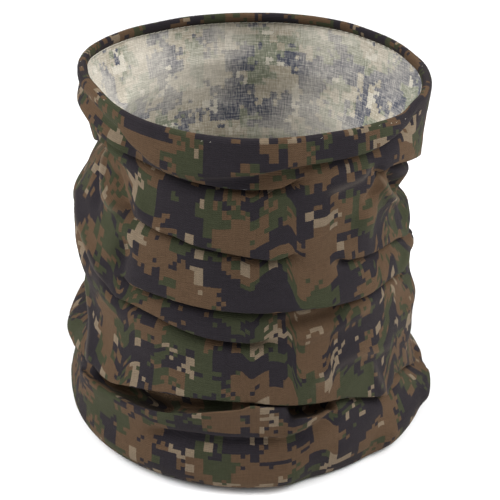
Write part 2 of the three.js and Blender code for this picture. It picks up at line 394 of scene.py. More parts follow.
@dataclass(frozen=True)
class ClothForm:
    """The shape of the whole tube of cloth, as a grid of points round and up it.

    Places up it are named "along", measured as heights on the cloth before it is folded.
    """

    rim_radius: float
    foot_radius: float
    standing_height: float
    columns: int = 320
    rows: int = 276
    fine_rows: int = 470
    hem_roll: float = 3.4
    hem_widenings: Path = ((92.0, 0.75), (-68.0, 0.8))
    rim_rises: Path = ((-78.0, 6.0), (84.0, -1.5))
    foot_top: float = 14.0
    thickness: float = 0.5
    softenings: int = 2
    row_easing: int = 60
    stations: tuple[Station, ...] = STATIONS
    wrinkle_strength: float = 0.55
    wrinkles: tuple[Wrinkles, ...] = (Wrinkles(9, 6, 3, 1.5), Wrinkles(24, 26, 5, 0.8),
                                      Wrinkles(60, 60, 8, 0.35))
    rim_kinks: Wrinkles = Wrinkles(30, 3, 21, 0.9)
    seam_turns: tuple[float, float] = (-90.0, 90.0)

    @property
    def mean_radius(self) -> float:
        """A radius between the rim's and the foot's, for measuring round the cloth."""
        return (self.rim_radius + self.foot_radius) / 2.0 - 1.0

    @property
    def wall_top(self) -> float:
        """Where the wall ends and its turned-in hem starts to roll over."""
        return self.standing_height - 0.66 * self.hem_roll

    def rim_curve(self) -> np.ndarray:
        """The turned-in hem, up over the rim and down inside, as (out, up) from the wall's top."""
        points = ((0, 0), (-0.06, 0.34), (-0.24, 0.58), (-0.46, 0.66), (-0.68, 0.56), (-0.82, 0.28),
                  (-0.86, -0.1), (-0.8, -0.5), (-0.62, -0.84), (-0.42, -1.0), (-0.3, -0.96))
        return smooth_path(np.array(points) * self.hem_roll, 8)

    @staticmethod
    def foot_curve() -> np.ndarray:
        """The rolled-under foot, from the wall's lower end round to the hidden edge, as (out, up)."""
        points = ((0, 0), (0.5, -3.2), (0.0, -7), (-2.2, -11), (-6.2, -13.7), (-10.4, -13.6), (-13.4, -10.8),
                  (-14.4, -6.6), (-13.8, -2.6), (-12.2, -0.4))
        return smooth_path(np.array(points), 8)

    def fold_lines(self) -> list[FoldLine]:
        """Every fold line on the cloth, with the shallow groove down each side seam."""
        grooves = []
        for turn in self.seam_turns:
            path = ((turn, self.standing_height - 6), (turn, self.standing_height / 2), (turn, 4.0))
            grooves.append(FoldLine(path, out=-0.7, above=1.6, below=1.6, section=Section.CREASE, fade=5))
        return [*front_folds(), *lower_folds(), *left_folds(), *right_folds(), *back_folds(), *grooves]

    def base(self, turn: np.ndarray, along: np.ndarray) -> tuple[np.ndarray, np.ndarray]:
        """The tube before its folds.

        Args:
            turn: degrees round, one per column.
            along: height along the unrolled cloth, one per fine row.

        Returns:
            Radius and height for every fine row and column.
        """
        radius = self.foot_radius - self.drawn_in(turn, along)
        height = np.clip(along, self.foot_top, self.wall_top)
        rim_width = 1.0 + bumps(turn, self.hem_widenings, 26.0)
        for curve, beyond, width in ((self.rim_curve(), along - self.wall_top, rim_width),
                                     (self.foot_curve(), self.foot_top - along, np.ones_like(turn))):
            length = np.concatenate([[0.0], np.cumsum(steps_along(curve))])
            rolled = beyond > 0
            radius = radius + np.where(rolled, np.interp(beyond, length, curve[:, 0]), 0.0)[:, None] * width
            height = height + np.where(rolled, np.interp(beyond, length, curve[:, 1]), 0.0)
        lift = smooth_step((along - 100.0) / 70.0)[:, None] * bumps(turn, self.rim_rises, 42.0)
        return radius, height[:, None] + lift

    def drawn_in(self, turn: np.ndarray, along: np.ndarray) -> np.ndarray:
        """How far the unfolded tube lies inside the foot's widest radius."""
        total = np.zeros((len(along), len(turn)))
        for station in self.stations:
            near = np.clip(np.cos(np.radians(turn - station.turn)), 0.0, 1.0) ** 2
            curve = smooth_path(np.array(station.profile, float), 6)
            total += np.interp(along, curve[:, 0], curve[:, 1])[:, None] * near
        return total

    def along_ends(self) -> tuple[float, float]:
        """The lowest and highest place along the unrolled cloth."""
        foot, rim = (steps_along(curve).sum() for curve in (self.foot_curve(), self.rim_curve()))
        return self.foot_top - foot, self.wall_top + rim

    def push(self, line: FoldLine, turn: np.ndarray, along: np.ndarray, sums: dict[str, np.ndarray]) -> None:
        """Adds one fold line's push to the sums.

        Args:
            line: the fold line.
            turn: degrees round, one per column.
            along: height along the unrolled cloth, one per fine row.
            sums: "out", "up" and "pale" grids that are added to.
        """
        degree = math.radians(1.0) * self.mean_radius
        path = smooth_path(np.array(line.path, float) * (degree, 1.0), 6)
        reach = 3.2 * max(line.above, line.below)
        (left, low), (right, high) = path.min(axis=0) - reach, path.max(axis=0) + reach
        level = (along > low) & (along < high)
        for whole_turn in (-360.0, 0.0, 360.0):
            x = (turn + whole_turn) * degree
            near = (x > left) & (x < right)
            if not near.any() or not level.any():
                continue
            window = np.ix_(level, near)
            offset, travelled, total = self.beside(path, x[near][None, :], along[level][:, None])
            ratio = np.where(offset > 0, offset / line.above, -offset / line.below)
            if line.section is Section.CREASE:
                strength = np.exp(-2.2 * (np.sqrt(ratio ** 2 + 0.03) - math.sqrt(0.03)))
            else:
                strength = np.exp(-1.8 * ratio ** 2)
            begun, ending = smooth_step(travelled / line.fade), smooth_step((total - travelled) / line.fade)
            strength = strength * begun * ending
            sums["out"][window] += line.out * strength
            sums["up"][window] += line.up * strength
            # Pale line painted along the crest: partly worn fibre, partly a painted highlight.
            sums["pale"][window] += line.pale * np.exp(-(offset / 0.8) ** 2) * (begun * ending)

    @staticmethod
    def beside(path: np.ndarray, x: np.ndarray, z: np.ndarray) -> tuple[np.ndarray, np.ndarray, float]:
        """How far points lie from a path, and how far along it.

        Args:
            path: the path's points.
            x: places round the cloth, as a row.
            z: places up it, as a column.

        Returns:
            Signed distance, positive on the left of the way the path runs, distance travelled, total length.
        """
        best = np.full((z.shape[0], x.shape[1]), np.inf)
        offset, travelled = np.zeros_like(best), np.zeros_like(best)
        start = 0.0
        for (x0, z0), (x1, z1) in zip(path[:-1], path[1:]):
            dx, dz = x1 - x0, z1 - z0
            length = math.hypot(dx, dz)
            share = np.clip(((x - x0) * dx + (z - z0) * dz) / length ** 2, 0.0, 1.0)
            away = np.hypot(x - x0 - share * dx, z - z0 - share * dz)
            side = np.sign(dx * (z - z0) - dz * (x - x0))
            closer = away < best
            best = np.where(closer, away, best)
            offset = np.where(closer, away * side, offset)
            travelled = np.where(closer, start + share * length, travelled)
            start += length
        return offset, travelled, start

    def grid(self) -> ClothGrid:
        """The folded cloth, resampled evenly from its hidden lower edge to its hidden upper one."""
        turn = np.linspace(-90.0, 270.0, self.columns, endpoint=False)
        along = np.linspace(*self.along_ends(), self.fine_rows)
        radius, height = self.base(turn, along)
        sums = {name: np.zeros_like(radius) for name in ("out", "up", "pale")}
        for line in self.fold_lines():
            self.push(line, turn, along, sums)
        share, rise = turn / 360.0, along / self.standing_height
        calm = smooth_step((along - 2.0) / 12.0) * smooth_step((self.standing_height - 4.0 - along) / 14.0)
        for wrinkles in self.wrinkles:
            sums["out"] += wrinkles.at(share, rise, self.wrinkle_strength) * calm[:, None]
        kinked = smooth_step((along - self.standing_height + 16.0) / 10.0)[:, None]
        radius = radius + sums["out"] + self.rim_kinks.at(share, rise) * kinked
        height = np.maximum(height + sums["up"], 0.0)
        hidden = smooth_step((-sums["out"] - 1.5) / 3.5)
        return self.evened(turn, radius, height, sums["pale"], hidden)

    def evened(self, turn: np.ndarray, radius: np.ndarray, height: np.ndarray, pale: np.ndarray,
               hidden: np.ndarray) -> ClothGrid:
        """Spaces every column's points evenly along the cloth.

        Args:
            turn: degrees round, one per column.
            radius: radius at every fine row and column.
            height: height there.
            pale: how pale the cloth is painted there, partly worn fibre and partly a painted highlight.
            hidden: how deep in a crease it is, from 0 to 1.

        Returns:
            The cloth. On the flat its columns are all the same length: what differs is taken up in creases.
        """
        share = np.linspace(0.0, 1.0, self.rows)
        steps = np.hypot(np.diff(radius, axis=0), np.diff(height, axis=0))
        tucked = 0.5 * (hidden[1:] + hidden[:-1])
        flat_length = float(steps.sum(axis=0).mean())
        in_view, in_creases = (steps * (1.0 - tucked)).sum(axis=0), (steps * tucked).sum(axis=0)
        taken_up = np.clip((flat_length - in_view) / in_creases, 0.3, 2.5)
        flat_steps = steps * (1.0 - tucked + tucked * taken_up)
        spacing = steps
        for _ in range(self.row_easing):
            spacing = 0.5 * spacing + 0.25 * (np.roll(spacing, 1, axis=1) + np.roll(spacing, -1, axis=1))
        out = np.zeros((self.rows, len(turn), 4))
        for column in range(len(turn)):
            length, flat = (np.concatenate([[0.0], np.cumsum(part[:, column])])
                            for part in (spacing, flat_steps))
            flat = flat * flat_length / flat_steps[:, column].sum()
            for index, values in enumerate((radius[:, column], height[:, column], pale[:, column], flat)):
                out[:, column, index] = np.interp(share * length[-1], length, values)
        radius, height, pale, flat = np.moveaxis(softened(out, self.softenings), -1, 0)
        angle = np.radians(turn)
        points = np.stack([radius * np.sin(angle), -radius * np.cos(angle), height], axis=-1)
        return ClothGrid(points, turn, flat_length, pale, flat, self)


@dataclass
class ClothGrid:
    """The folded cloth as points, row by row from the hidden lower edge up, and column by column round."""

    points: np.ndarray
    turn: np.ndarray
    cloth_length: float
    pale: np.ndarray
    flat_up: np.ndarray
    form: ClothForm
    normals: np.ndarray = field(init=False)
    layer: np.ndarray = field(init=False)

    def __post_init__(self) -> None:
        """Works out the outward normals and the thickness."""
        around = np.roll(self.points, -1, axis=1) - np.roll(self.points, 1, axis=1)
        normals = np.cross(around, np.gradient(self.points, axis=0))
        self.normals = normals / np.maximum(np.linalg.norm(normals, axis=-1, keepdims=True), 1e-9)
        self.layer = self.fitted_layer()

    def fitted_layer(self, closest: float = 0.22, least: float = 0.03) -> np.ndarray:
        """The cloth's thickness, thinner where a fold's two sides nearly meet, so that neither shows through.

        Args:
            closest: the largest share of the gap between the two sides that either may fill.
            least: the thinnest that the cloth may be, in mm.

        Returns:
            The thickness by row and column, in mm.
        """
        layer = np.full(self.points.shape[:2], self.form.thickness)
        row_step = self.cloth_length / (len(self.points) - 1)
        for rows in range(2, 11):
            gap = np.linalg.norm(self.points[rows:] - self.points[:-rows], axis=-1)
            folded = gap < 0.72 * rows * row_step
            fits = np.where(folded, np.maximum(closest * gap, least), self.form.thickness)
            layer[rows:] = np.minimum(layer[rows:], fits)
            layer[:-rows] = np.minimum(layer[:-rows], fits)
        return softened(self.least_nearby(layer, 1), 2)

    @staticmethod
    def least_nearby(values: np.ndarray, rows: int) -> np.ndarray:
        """The least of the values a few rows up and down."""
        least = values.copy()
        for away in range(1, rows + 1):
            least[away:] = np.minimum(least[away:], values[:-away])
            least[:-away] = np.minimum(least[:-away], values[away:])
        return least

    @property
    def girth(self) -> float:
        """Round the cloth, in mm."""
        return 2.0 * math.pi * self.form.mean_radius

    @property
    def column_width(self) -> float:
        """Round the cloth from one column to the next, in mm."""
        return self.girth / len(self.turn)

    def column_at(self, degrees: float) -> int:
        """The column nearest to a place round the tube."""
        return int(round((degrees - self.turn[0]) / 360.0 * len(self.turn))) % len(self.turn)

    def row_at(self, flat_up: float) -> int:
        """The row nearest to a distance up the flat cloth from its lower edge."""
        return int(round(flat_up / self.cloth_length * (self.form.rows - 1)))

    def inside(self, rows: slice, columns: np.ndarray, depth: float) -> np.ndarray:
        """Points a depth in mm behind the printed face, eased along each column and clear of the folds."""
        points = self.points[rows][:, columns] - self.normals[rows][:, columns] * depth
        radius = np.hypot(points[..., 0], points[..., 1])
        points[..., :2] *= (self.least_nearby(radius, 4) / radius)[..., None]
        return softened(points, 6)


# ---------------------------------------------------------------- node trees


def shade(red: int, green: int, blue: int) -> Colour:
    """A linear colour from a paint chart's 0 to 255 values."""
    shares = (part / 255.0 for part in (red, green, blue))
    linear = [share / 12.92 if share <= 0.04045 else ((share + 0.055) / 1.055) ** 2.4 for share in shares]
    return linear[0], linear[1], linear[2], 1.0


class Weaver:
    """Adds nodes to a tree and links them, so that a tree reads as a list of steps."""

    def __init__(self, tree: bpy.types.NodeTree) -> None:
        """Wraps a node tree."""
        self.tree = tree

    def fill(self, node: bpy.types.Node, **sockets: object) -> bpy.types.Node:
        """Sets or links a node's inputs.

        Args:
            node: the node.
            sockets: values to set or output sockets to link, by the input's name with spaces as "_",
                or by its number after "i", such as i0.

        Returns:
            The node.
        """
        for name, value in sockets.items():
            by_number = name[0] == "i" and name[1:].isdigit()
            socket = node.inputs[int(name[1:])] if by_number else node.inputs[name.replace("_", " ")]
            if isinstance(value, bpy.types.NodeSocket):
                self.tree.links.new(value, socket)
            else:
                socket.default_value = value
        return node

    def node(self, kind: str, settings: dict[str, object] | None = None, **sockets: object) -> bpy.types.Node:
        """Adds a node of a kind, with its own settings and its inputs as fill() takes them."""
        node = self.tree.nodes.new(kind)
        for name, value in (settings or {}).items():
            setattr(node, name, value)
        return self.fill(node, **sockets)

    def math(self, operation: str, *values: object) -> bpy.types.NodeSocket:
        """A Math node's result."""
        inputs = {f"i{index}": value for index, value in enumerate(values)}
        return self.node("ShaderNodeMath", {"operation": operation}, **inputs).outputs[0]

    def vector(self, operation: str, *values: object, **named: object) -> bpy.types.NodeSocket:
        """A Vector Math node's vector result."""
        inputs = {f"i{index}": value for index, value in enumerate(values)}
        return self.node("ShaderNodeVectorMath", {"operation": operation}, **inputs, **named).outputs[0]

    def place(self, **parts: object) -> bpy.types.NodeSocket:
        """A vector from its X, Y and Z."""
        return self.node("ShaderNodeCombineXYZ", **parts).outputs[0]

    def mixed(self, share: object, low: object, high: object, blend: str = "MIX") -> bpy.types.NodeSocket:
        """A colour between two others, or two colours blended."""
        settings = {"data_type": "RGBA", "blend_type": blend, "clamp_factor": True}
        return self.node("ShaderNodeMix", settings, i0=share, i6=low, i7=high).outputs[2]

    def toned(self, colour: object, tone: object) -> bpy.types.NodeSocket:
        """A colour made darker or lighter."""
        return self.mixed(1.0, colour, self.place(X=tone, Y=tone, Z=tone), "MULTIPLY")

    def noise(self, where: object, scale: object, detail: float = 2.0,
              roughness: float = 0.5) -> bpy.types.Node:
        """Flat noise over the cloth."""
        return self.node("ShaderNodeTexNoise", {"noise_dimensions": "2D"}, Vector=where, Scale=scale,
                         Detail=detail, Roughness=roughness)

    def strayed(self, where: object, scale: object, amount: object) -> bpy.types.NodeSocket:
        """A place moved a little at random."""
        stray = self.vector("SUBTRACT", self.noise(where, scale).outputs["Color"], (0.5, 0.5, 0.5))
        return self.vector("ADD", where, self.vector("SCALE", stray, Scale=amount))

    def on_cloth(self, group: bpy.types.NodeTree, cloth: object, **sockets: object) -> bpy.types.NodeSocket:
        """The result of a node group that works on the flat cloth."""
        return self.node("ShaderNodeGroup", {"node_tree": group}, Cloth=cloth, **sockets).outputs[0]


def new_group(name: str, kind: str, inputs: Sequence[tuple[str, str, object]],
              outputs: Sequence[tuple[str, str]]) -> tuple[Weaver, bpy.types.Node, bpy.types.Node]:
    """An empty node group with named sockets.

    Args:
        name: the group's name.
        kind: "ShaderNodeTree" or "GeometryNodeTree".
        inputs: (name, socket type, default) for each input.
        outputs: (name, socket type) for each output.

    Returns:
        The group's weaver, its input node and its output node.
    """
    tree = bpy.data.node_groups.new(name, kind)
    for label, socket_type, default in inputs:
        socket = tree.interface.new_socket(name=label, in_out="INPUT", socket_type=socket_type)
        if default is not None:
            socket.default_value = default
    for label, socket_type in outputs:
        tree.interface.new_socket(name=label, in_out="OUTPUT", socket_type=socket_type)
    return Weaver(tree), tree.nodes.new("NodeGroupInput"), tree.nodes.new("NodeGroupOutput")


def new_material(name: str) -> tuple[bpy.types.Material, Weaver, bpy.types.Node]:
    """A material, its weaver and its surface shader."""
    material = bpy.data.materials.new(name)
    material.use_nodes = True
    return material, Weaver(material.node_tree), material.node_tree.nodes["Principled BSDF"]


# ---------------------------------------------------------------- finishes


@dataclass(frozen=True)
class PrintInks:
    """The four colours of the print."""

    coyote: Colour = shade(77, 60, 45)
    leaf: Colour = shade(50, 53, 38)
    bark: Colour = shade(35, 32, 36)
    sand: Colour = shade(108, 95, 79)


@dataclass(frozen=True)
class InkLayer:
    """One ink over the ground colour: its patches' size in mm, their shift, how rare they are, and a seed."""

    ink: str
    patch: float
    shift: float
    level: float
    seed: float


class Groups:
    """The node groups that the finishes share, each built once. All take "Cloth", a place on it in mm."""

    CLOTH = ("Cloth", "NodeSocketVector", None)
    LAYERS = (InkLayer("Leaf", 25.0, 11.0, 0.520, 17.0), InkLayer("Bark", 21.0, 47.0, 0.525, 71.0),
              InkLayer("Sand", 16.0, 131.0, 0.685, 29.0))

    def __init__(self) -> None:
        """Builds them."""
        self.blocks = self.block_print()
        self.knit = self.fine_knit()
        self.slub = self.slub_lines()

    def block_print(self) -> bpy.types.NodeTree:
        """A camouflage print made of square cells of two sizes, with their edges blurred by the yarn."""
        number, colour = "NodeSocketFloat", "NodeSocketColor"
        inks = [(name, colour, None) for name in ("Coyote", "Leaf", "Bark", "Sand")]
        w, start, end = new_group(
            "Block print", "ShaderNodeTree",
            [self.CLOTH, ("Cell", number, 4.0), ("Fuzz", number, 0.25), ("Fuzz size", number, 1.0), *inks],
            [("Colour", colour)])
        given = start.outputs
        placed = w.strayed(given["Cloth"], w.math("DIVIDE", 1.0, given["Fuzz size"]), given["Fuzz"])
        cell = w.place(X=given["Cell"], Y=given["Cell"], Z=given["Cell"])
        large = w.vector("SNAP", placed, cell)
        small = w.vector("SNAP", placed, w.vector("SCALE", cell, Scale=0.5))
        printed = given["Coyote"]
        for layer in self.LAYERS:
            shifted = w.vector("ADD", large, (layer.shift, 2.3 * layer.shift, 0.0))
            patches = w.noise(shifted, 1.0 / layer.patch, 2.2, 0.55).outputs[0]
            for lattice, weight in ((small, 0.085), (large, 0.105)):
                moved = w.vector("ADD", lattice, (layer.seed, layer.seed, 0.0))
                chance = w.node("ShaderNodeTexWhiteNoise", {"noise_dimensions": "2D"}, Vector=moved).outputs[0]
                chance = w.math("MULTIPLY", w.math("SUBTRACT", chance, 0.5), weight)
                patches = w.math("ADD", patches, chance)
            printed = w.mixed(w.math("GREATER_THAN", patches, layer.level), printed, given[layer.ink])
        w.fill(end, Colour=printed)
        return w.tree

    def fine_knit(self) -> bpy.types.NodeTree:
        """The height of the knit's fine ribs, stitches and stray hairs."""
        number = "NodeSocketFloat"
        w, start, end = new_group("Fine knit", "ShaderNodeTree",
                                  [self.CLOTH, ("Course", number, 0.85), ("Wale", number, 0.75)],
                                  [("Height", number)])
        cloth = start.outputs["Cloth"]
        parts = w.node("ShaderNodeSeparateXYZ", Vector=w.strayed(cloth, 0.16, 0.9)).outputs
        waves = []
        for axis, pitch in (("X", "Wale"), ("Y", "Course")):
            phase = w.math("DIVIDE", parts[axis], start.outputs[pitch])
            waves.append(w.math("SINE", w.math("MULTIPLY", phase, 2.0 * math.pi)))
        loops = w.math("MULTIPLY", w.math("MULTIPLY", *waves), 0.35)
        ribs = w.math("ADD", w.math("MULTIPLY", waves[1], 0.45), loops)
        hairs = w.math("SUBTRACT", w.noise(cloth, 2.4, 3.0, 0.7).outputs[0], 0.5)
        w.fill(end, Height=w.math("ADD", ribs, w.math("MULTIPLY", hairs, 1.2)))
        return w.tree

    def slub_lines(self) -> bpy.types.NodeTree:
        """Short thick and thin places in the yarn, along the knit's courses and wales, from about -1 to 1."""
        w, start, end = new_group("Slub lines", "ShaderNodeTree", [self.CLOTH], [("Value", "NodeSocketFloat")])
        lines = []
        for stretch in ((0.16, 1.25, 1.0), (1.25, 0.2, 1.0)):
            drawn = w.vector("MULTIPLY", start.outputs["Cloth"], stretch)
            lines.append(w.math("SUBTRACT", w.noise(drawn, 1.0, 2.0, 0.6).outputs[0], 0.5))
        w.fill(end, Value=w.math("MULTIPLY", w.math("ADD", *lines), 2.6))
        return w.tree


@dataclass(frozen=True)
class KnitFinish:
    """One side of the printed knit. Each side says in dyed() how its colour comes from the print."""

    groups: Groups
    name: str
    inks: PrintInks
    fuzz: float
    fuzz_size: float
    knit_painted_shade: float
    slub_tone: float
    relief: float
    roughness: float
    sheen: float
    specular: float
    sheen_roughness: float = 0.5
    sheen_tint: Colour = (1.0, 1.0, 1.0, 1.0)
    cell: float = 4.1

    def dyed(self, w: Weaver, cloth: object, printed: object, tone: object,
             slub: object) -> bpy.types.NodeSocket:
        """The side's colour.

        Args:
            w: the material's weaver.
            cloth: the place on the flat cloth.
            printed: the print's colour.
            tone: how light the knit is, with painted shade in the knit's fine grooves.
            slub: how thick the yarn is.

        Returns:
            The colour.
        """
        raise NotImplementedError

    def make(self) -> bpy.types.Material:
        """The material."""
        material, w, surface = new_material(self.name)
        cloth = w.node("ShaderNodeAttribute", {"attribute_name": "cloth"}).outputs["Vector"]
        inks = {name.title(): getattr(self.inks, name) for name in ("coyote", "leaf", "bark", "sand")}
        printed = w.on_cloth(self.groups.blocks, cloth, Cell=self.cell, Fuzz=self.fuzz,
                             Fuzz_size=self.fuzz_size, **inks)
        knit, slub = w.on_cloth(self.groups.knit, cloth), w.on_cloth(self.groups.slub, cloth)
        # Painted shade: the knit's fine grooves darken the colour, from the same height that makes the bump,
        # with random tone from stray hairs.
        tone = w.math("ADD", 1.0, w.math("MULTIPLY", knit, self.knit_painted_shade))
        tone = w.math("ADD", tone, w.math("MULTIPLY", slub, self.slub_tone))
        bump = w.node("ShaderNodeBump", Strength=0.5, Distance=self.relief, Height=knit).outputs[0]
        w.fill(surface, Base_Color=self.dyed(w, cloth, printed, tone, slub), Normal=bump,
               Roughness=self.roughness, Specular_IOR_Level=self.specular, Sheen_Weight=self.sheen,
               Sheen_Roughness=self.sheen_roughness, Sheen_Tint=self.sheen_tint)
        return material


@dataclass(frozen=True)
class PrintedFace(KnitFinish):
    """The printed outside of the knit, painted pale along sharp crests: partly worn print, partly a painted
    highlight.
    """

    name: str = "Printed knit face"
    inks: PrintInks = PrintInks()
    fuzz: float = 0.6
    fuzz_size: float = 0.5
    knit_painted_shade: float = 0.13
    slub_tone: float = 0.11
    relief: float = 0.00022
    roughness: float = 0.95
    sheen: float = 0.05
    specular: float = 0.1
    sheen_roughness: float = 0.45
    sheen_tint: Colour = shade(214, 190, 160)
    # The pale colour painted along sharp crests: partly worn fibre, partly a painted highlight.
    bare_fibre_and_highlight: Colour = shade(186, 172, 152)
    wear_and_highlight_share: float = 0.16

    def dyed(self, w: Weaver, cloth: object, printed: object, tone: object,
             slub: object) -> bpy.types.NodeSocket:
        """The print, faded here and there, and paler along sharp crests: partly worn fibre, partly a painted
        highlight.
        """
        faded = w.math("MULTIPLY", w.noise(cloth, 0.035, 3.0).outputs[0], 0.16)
        tone = w.math("MULTIPLY", tone, w.math("ADD", 0.92, faded))
        pale = w.node("ShaderNodeAttribute", {"attribute_name": "pale"}).outputs["Fac"]
        # Painted highlight along sharp crests, mixed with worn fibre.
        crest_wear_and_highlight = w.math("MULTIPLY", w.math("MINIMUM", pale, 1.0), self.wear_and_highlight_share)
        return w.mixed(crest_wear_and_highlight, w.toned(printed, tone), self.bare_fibre_and_highlight)


@dataclass(frozen=True)
class WrongSide(KnitFinish):
    """The pale inside of the knit, with the print showing through it, washed out."""

    name: str = "Knit wrong side"
    inks: PrintInks = PrintInks(shade(168, 159, 141), shade(124, 129, 110), shade(78, 82, 97),
                                shade(198, 192, 178))
    fuzz: float = 2.2
    fuzz_size: float = 0.9
    knit_painted_shade: float = 0.09
    slub_tone: float = 0.13
    relief: float = 0.00025
    roughness: float = 0.9
    sheen: float = 0.15
    specular: float = 0.2
    cream: Colour = shade(212, 206, 194)

    def dyed(self, w: Weaver, cloth: object, printed: object, tone: object,
             slub: object) -> bpy.types.NodeSocket:
        """Cream yarn, with as much of the print as soaks through: less in places, and less in thick yarn."""
        soak = w.noise(cloth, 0.022).outputs[0]
        soak = w.node("ShaderNodeMapRange", Value=soak, From_Min=0.35, From_Max=0.65, To_Min=0.42,
                      To_Max=1.0).outputs[0]
        thin = w.math("ADD", 0.9, w.math("MULTIPLY", slub, -0.36))
        shown = w.node("ShaderNodeClamp", Value=w.math("MULTIPLY", soak, thin)).outputs[0]
        return w.toned(w.mixed(shown, self.cream, printed), tone)


@dataclass(frozen=True)
class SpunThread:
    """Off-white spun sewing thread."""

    dark: Colour = shade(196, 190, 172)
    light: Colour = shade(238, 234, 222)

    def make(self) -> bpy.types.Material:
        """The material."""
        material, w, surface = new_material("Spun thread")
        where = w.node("ShaderNodeTexCoord").outputs["Object"]
        fibres = w.node("ShaderNodeTexNoise", Vector=where, Scale=5200.0, Detail=3.0).outputs[0]
        bump = w.node("ShaderNodeBump", Strength=0.4, Distance=0.00006, Height=fibres).outputs[0]
        w.fill(surface, Base_Color=w.mixed(fibres, self.dark, self.light), Normal=bump, Roughness=0.7,
               Sheen_Weight=0.2)
        return material


# ---------------------------------------------------------------- cloth pieces


def placed(name: str, data: bpy.types.ID, where: Point = (0.0, 0.0, 0.0),
           turned: Point = (0.0, 0.0, 0.0)) -> bpy.types.Object:
    """A new object in the scene, at a place and turned by angles in radians."""
    made = bpy.data.objects.new(name, data)
    made.location = where
    made.rotation_euler = turned
    bpy.context.scene.collection.objects.link(made)
    return made


def plain_mesh(name: str, points: np.ndarray, faces: Iterable[Sequence[int]],
               edges: Sequence[tuple[int, int]] = ()) -> bpy.types.Object:
    """A mesh object from points in mm, with its faces' and its loose edges' corner numbers."""
    mesh = bpy.data.meshes.new(name)
    mesh.from_pydata((points * METRES).tolist(), edges, [tuple(map(int, face)) for face in faces])
    return placed(name, mesh)


def store(made: bpy.types.Object, name: str, kind: str, values: np.ndarray) -> None:
    """Stores a value for each point of a mesh."""
    attribute = made.data.attributes.new(name, kind, "POINT")
    attribute.data.foreach_set("vector" if kind == "FLOAT_VECTOR" else "value",
                               values.ravel().astype(np.float32))


@dataclass(frozen=True)
class SeamPlan:
    """Where the cloth beyond the side seams lies, inside the tube. Lengths in mm."""

    columns_wide: int = 3
    lower_end: float = 46.0
    upper_end: float = 10.0
    front_layer: float = 1.5
    back_layer: float = 0.85
    layer: float = 0.45

    def rows(self, grid: ClothGrid) -> slice:
        """The rows that the allowances run over."""
        return slice(grid.row_at(self.lower_end), grid.row_at(grid.cloth_length - self.upper_end))

    def columns(self, grid: ClothGrid, turn: float) -> np.ndarray:
        """The columns that an allowance lies over, from the seam towards the back."""
        way = 1 if turn > 0 else -1
        return (grid.column_at(turn) + way * np.arange(self.columns_wide + 1)) % len(grid.turn)


@dataclass
class Patch:
    """A piece of cloth with two faces, as rows and columns of points."""

    outer: np.ndarray
    inner: np.ndarray
    flat: np.ndarray
    pale: np.ndarray
    printed: bool

    def faces(self, first: int) -> tuple[np.ndarray, np.ndarray]:
        """The outer face's quads, and all the others, numbered from a first point.

        The inner quads start at the far corner, so that both faces split along the same diagonal.
        """
        rows, across = self.outer.shape[:2]
        numbers = np.arange(rows * across).reshape(rows, across) + first
        low_left, low_right = numbers[:-1, :-1].ravel(), numbers[:-1, 1:].ravel()
        up_right, up_left = numbers[1:, 1:].ravel(), numbers[1:, :-1].ravel()
        front = np.stack([low_left, low_right, up_right, up_left], axis=1)
        back = front[:, (2, 1, 0, 3)] + rows * across
        border = np.concatenate([numbers[0, :], numbers[1:, -1], numbers[-1, -2::-1], numbers[-2:0:-1, 0]])
        onward = np.roll(border, -1)
        edge = np.stack([onward, border, border + rows * across, onward + rows * across], axis=1)
        return front, np.vstack([back, edge])


